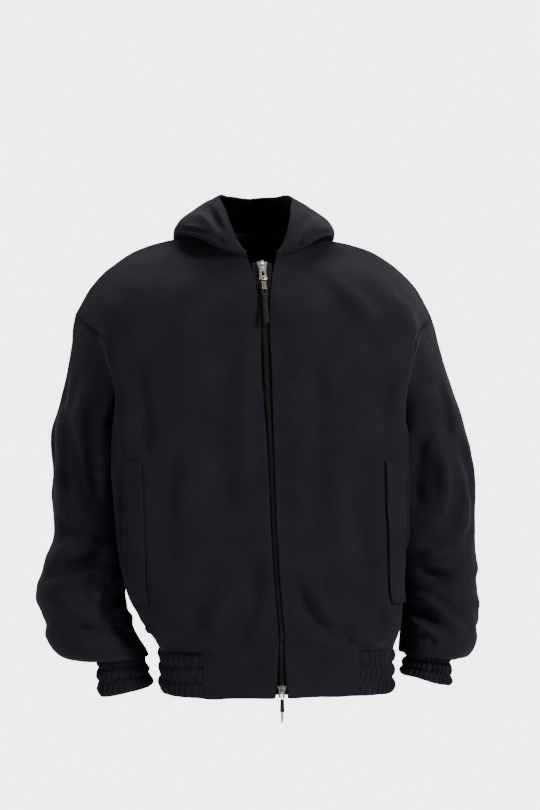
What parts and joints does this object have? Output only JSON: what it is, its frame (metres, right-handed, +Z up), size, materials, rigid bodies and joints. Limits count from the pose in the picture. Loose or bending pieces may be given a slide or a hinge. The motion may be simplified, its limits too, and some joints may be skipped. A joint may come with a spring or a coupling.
{
  "type": "reversible zip jacket with hood",
  "caption": "Oversized black zip jacket with its hood laid back, gathered hem and cuffs, welt pockets and a two-way front zip.",
  "frame": {"origin": "between the shoulder points at the base of the neck, where the wearer's shoulders carry the jacket", "axes": "+Z up along the body, the front faces -Y, +X is the wearer's left"},
  "size_m": [0.76, 0.353, 0.8829],
  "materials": {
    "cloth": "brushed wool twill, matt",
    "gathered_cloth": "the same cloth, gathered over elastic",
    "zip_tape": "woven polyester tape",
    "zip_chain": "satin black chain",
    "slider_metal": "polished nickel",
    "pull_black": "black lacquer"
  },
  "bodies": {
    "jacket": {"front_right": "cloth", "front_left": "cloth", "back": "cloth", "sleeve_right": "cloth", "sleeve_left": "cloth", "cuff_right": "gathered_cloth", "cuff_left": "gathered_cloth", "hem_casing": "gathered_cloth", "hood_right": "cloth", "hood_left": "cloth", "pocket_welt_right": "cloth", "pocket_welt_left": "cloth", "zip_tape_right": "zip_tape", "zip_tape_left": "zip_tape", "zip_chain": "zip_chain", "slider_top": "slider_metal", "slider_bottom": "slider_metal"},
    "top_pull": {"pull_top": "pull_black"},
    "bottom_pull": {"pull_bottom": "pull_black"}
  },
  "joints": [
    {"name": "top_pull_swing", "type": "hinge", "parent": "jacket", "child": "top_pull", "pos_m": [0, -0.10609, -0.0689], "axis": [-1, 0, 0], "range_deg": [0, 150]},
    {"name": "bottom_pull_swing", "type": "hinge", "parent": "jacket", "child": "bottom_pull", "pos_m": [0.02597, -0.14841, -0.76058], "axis": [-1, 0, 0], "range_deg": [0, 150]}
  ]
}
